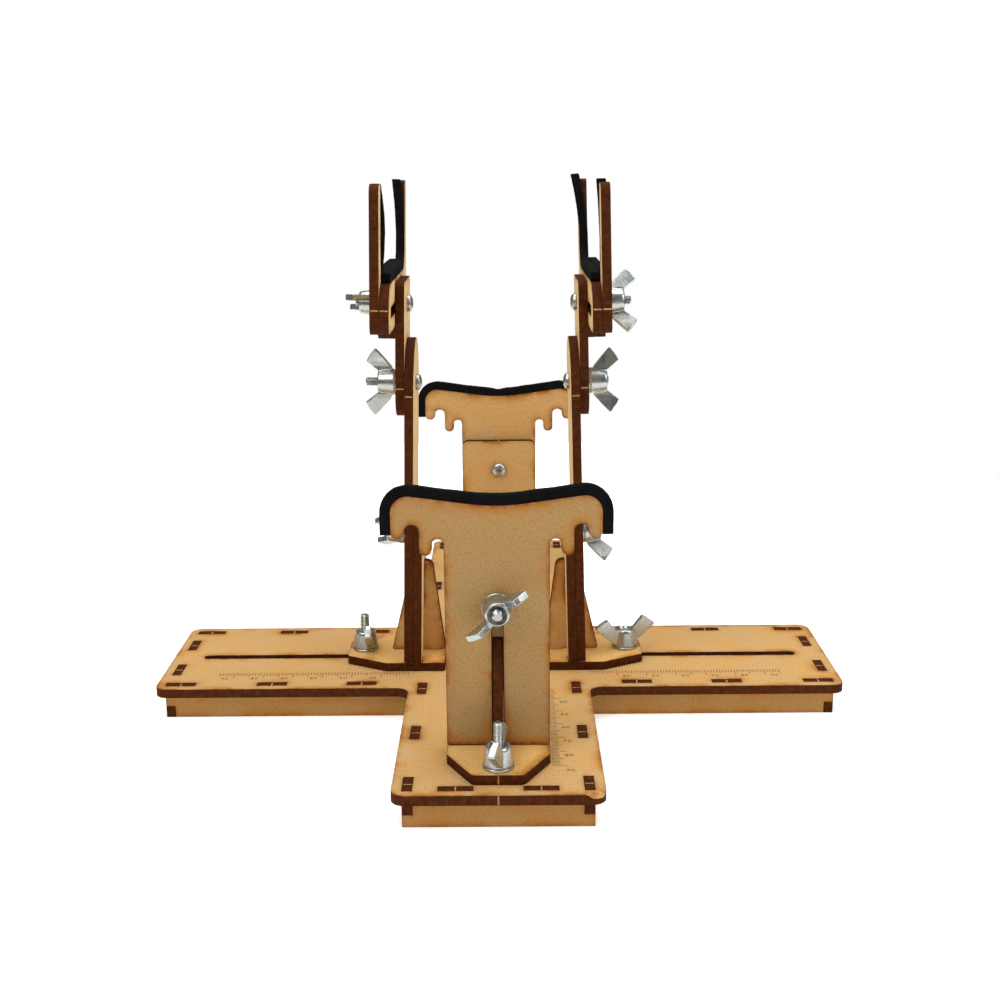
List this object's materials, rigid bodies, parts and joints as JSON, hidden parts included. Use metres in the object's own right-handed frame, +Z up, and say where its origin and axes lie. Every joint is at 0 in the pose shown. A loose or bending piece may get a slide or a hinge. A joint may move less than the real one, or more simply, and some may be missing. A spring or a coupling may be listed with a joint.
{
  "type": "adjustable hull cradle",
  "caption": "Plus-shaped work stand with sliding brackets, foam-edged saddles and swinging side jaws that hold a model ship's hull.",
  "frame": {"origin": "middle of the base's footprint, on the surface it stands on", "axes": "+X to the right arm, +Y to the longer rear arm, +Z up"},
  "size_m": [0.229, 0.256, 0.1738],
  "materials": {
    "top_plate": "smooth fibreboard with brown laser marks",
    "rail": "fibreboard with darkened edges",
    "board": "raw fibreboard with dark laser-cut edges",
    "foam": "matte black closed-cell foam",
    "zinc": "bright zinc-plated steel"
  },
  "bodies": {
    "base": {"base_top_plate": "top_plate", "arm_side_rails": "rail", "wing_side_rails": "rail", "end_rails": "rail"},
    "front_bracket": {"front_foot_plate": "board", "front_upright": "board", "front_gusset": "board", "front_foot_bolt": "zinc", "front_saddle_bolt": "zinc"},
    "front_foot_nut": {"front_foot_wing_nut": "zinc"},
    "front_saddle": {"front_saddle_plate": "board", "front_saddle_foam": "foam"},
    "front_saddle_nut": {"front_saddle_wing_nut": "zinc"},
    "rear_bracket": {"rear_foot_plate": "board", "rear_upright": "board", "rear_gusset": "board", "rear_foot_bolt": "zinc", "rear_saddle_bolt": "zinc"},
    "rear_foot_nut": {"rear_foot_wing_nut": "zinc"},
    "rear_saddle": {"rear_saddle_plate": "board", "rear_saddle_foam": "foam"},
    "rear_saddle_nut": {"rear_saddle_wing_nut": "zinc"},
    "left_bracket": {"left_foot_plate": "board", "left_upright": "board", "left_gusset": "board", "left_foot_bolt": "zinc", "left_arm_bolt": "zinc"},
    "left_foot_nut": {"left_foot_wing_nut": "zinc"},
    "left_lift": {"left_lift_arm": "board", "left_swing_bolt": "zinc"},
    "left_arm_nut": {"left_arm_wing_nut": "zinc"},
    "left_swing": {"left_swing_arm": "board"},
    "left_swing_nut": {"left_swing_wing_nut": "zinc"},
    "left_head": {"left_head_bolt": "zinc"},
    "left_inner_jaw": {"left_inner_jaw": "board", "left_inner_jaw_foam": "foam"},
    "left_outer_jaw": {"left_outer_jaw": "board", "left_outer_jaw_foam": "foam"},
    "left_head_nut": {"left_head_wing_nut": "zinc"},
    "right_bracket": {"right_foot_plate": "board", "right_upright": "board", "right_gusset": "board", "right_foot_bolt": "zinc", "right_arm_bolt": "zinc"},
    "right_foot_nut": {"right_foot_wing_nut": "zinc"},
    "right_lift": {"right_lift_arm": "board", "right_swing_bolt": "zinc"},
    "right_arm_nut": {"right_arm_wing_nut": "zinc"},
    "right_swing": {"right_swing_arm": "board"},
    "right_swing_nut": {"right_swing_wing_nut": "zinc"},
    "right_head": {"right_head_bolt": "zinc"},
    "right_inner_jaw": {"right_inner_jaw": "board", "right_inner_jaw_foam": "foam"},
    "right_outer_jaw": {"right_outer_jaw": "board", "right_outer_jaw_foam": "foam"},
    "right_head_nut": {"right_head_wing_nut": "zinc"}
  },
  "joints": [
    {"name": "front_bracket_slide", "type": "slide", "parent": "base", "child": "front_bracket", "axis": [0, -1, 0], "range_m": [-0.05, 0.0012]},
    {"name": "front_foot_nut_turn", "type": "hinge", "parent": "front_bracket", "child": "front_foot_nut", "pos_m": [0, -0.1161, 0.02], "axis": [0, 0, 1], "continuous": true},
    {"name": "front_saddle_lift", "type": "slide", "parent": "front_bracket", "child": "front_saddle", "axis": [0, 0, 1], "range_m": [0, 0.036]},
    {"name": "front_saddle_nut_turn", "type": "hinge", "parent": "front_bracket", "child": "front_saddle_nut", "pos_m": [0, -0.1057, 0.0565], "axis": [0, -1, 0], "continuous": true},
    {"name": "rear_bracket_slide", "type": "slide", "parent": "base", "child": "rear_bracket", "axis": [0, 1, 0], "range_m": [-0.034, 0.022]},
    {"name": "rear_foot_nut_turn", "type": "hinge", "parent": "rear_bracket", "child": "rear_foot_nut", "pos_m": [0, 0.0949, 0.02], "axis": [0, 0, 1], "continuous": true},
    {"name": "rear_saddle_lift", "type": "slide", "parent": "rear_bracket", "child": "rear_saddle", "axis": [0, 0, 1], "range_m": [0, 0.036]},
    {"name": "rear_saddle_nut_turn", "type": "hinge", "parent": "rear_bracket", "child": "rear_saddle_nut", "pos_m": [0, 0.0845, 0.0565], "axis": [0, 1, 0], "continuous": true},
    {"name": "left_bracket_slide", "type": "slide", "parent": "base", "child": "left_bracket", "axis": [-1, 0, 0], "range_m": [-0.0105, 0.055]},
    {"name": "left_foot_nut_turn", "type": "hinge", "parent": "left_bracket", "child": "left_foot_nut", "pos_m": [-0.0469, -0.0195, 0.02], "axis": [0, 0, 1], "continuous": true},
    {"name": "left_arm_lift", "type": "slide", "parent": "left_bracket", "child": "left_lift", "axis": [0.0262, 0, 0.9997], "range_m": [0, 0.036]},
    {"name": "left_arm_nut_turn", "type": "hinge", "parent": "left_bracket", "child": "left_arm_nut", "pos_m": [-0.03538, -0.0195, 0.05671], "axis": [-0.9997, 0, 0.0262], "continuous": true},
    {"name": "left_arm_swing", "type": "hinge", "parent": "left_lift", "child": "left_swing", "pos_m": [-0.03153, -0.0195, 0.10842], "axis": [0.9997, 0, -0.0262], "range_deg": [-45, 45]},
    {"name": "left_swing_nut_turn", "type": "hinge", "parent": "left_lift", "child": "left_swing_nut", "pos_m": [-0.03703, -0.0195, 0.10857], "axis": [-0.9997, 0, 0.0262], "continuous": true},
    {"name": "left_head_tilt", "type": "hinge", "parent": "left_swing", "child": "left_head", "pos_m": [-0.03084, -0.0195, 0.13472], "axis": [0.9997, 0, -0.0262], "range_deg": [-35, 35]},
    {"name": "left_inner_jaw_slide", "type": "slide", "parent": "left_head", "child": "left_inner_jaw", "axis": [0, 1, 0], "range_m": [-0.01, 0.028]},
    {"name": "left_outer_jaw_slide", "type": "slide", "parent": "left_head", "child": "left_outer_jaw", "axis": [0, -1, 0], "range_m": [-0.01, 0.028]},
    {"name": "left_head_nut_turn", "type": "hinge", "parent": "left_head", "child": "left_head_nut", "pos_m": [-0.04234, -0.0195, 0.13502], "axis": [-0.9997, 0, 0.0262], "continuous": true},
    {"name": "right_bracket_slide", "type": "slide", "parent": "base", "child": "right_bracket", "axis": [1, 0, 0], "range_m": [-0.0076, 0.058]},
    {"name": "right_foot_nut_turn", "type": "hinge", "parent": "right_bracket", "child": "right_foot_nut", "pos_m": [0.044, -0.0195, 0.02], "axis": [0, 0, 1], "continuous": true},
    {"name": "right_arm_lift", "type": "slide", "parent": "right_bracket", "child": "right_lift", "axis": [-0.0262, 0, 0.9997], "range_m": [0, 0.036]},
    {"name": "right_arm_nut_turn", "type": "hinge", "parent": "right_bracket", "child": "right_arm_nut", "pos_m": [0.03248, -0.0195, 0.05671], "axis": [0.9997, 0, 0.0262], "continuous": true},
    {"name": "right_arm_swing", "type": "hinge", "parent": "right_lift", "child": "right_swing", "pos_m": [0.02863, -0.0195, 0.10842], "axis": [0.9997, 0, 0.0262], "range_deg": [-45, 45]},
    {"name": "right_swing_nut_turn", "type": "hinge", "parent": "right_lift", "child": "right_swing_nut", "pos_m": [0.03413, -0.0195, 0.10857], "axis": [0.9997, 0, 0.0262], "continuous": true},
    {"name": "right_head_tilt", "type": "hinge", "parent": "right_swing", "child": "right_head", "pos_m": [0.02794, -0.0195, 0.13472], "axis": [0.9997, 0, 0.0262], "range_deg": [-35, 35]},
    {"name": "right_inner_jaw_slide", "type": "slide", "parent": "right_head", "child": "right_inner_jaw", "axis": [0, 1, 0], "range_m": [-0.01, 0.028]},
    {"name": "right_outer_jaw_slide", "type": "slide", "parent": "right_head", "child": "right_outer_jaw", "axis": [0, -1, 0], "range_m": [-0.01, 0.028]},
    {"name": "right_head_nut_turn", "type": "hinge", "parent": "right_head", "child": "right_head_nut", "pos_m": [0.03944, -0.0195, 0.13502], "axis": [0.9997, 0, 0.0262], "continuous": true}
  ]
}
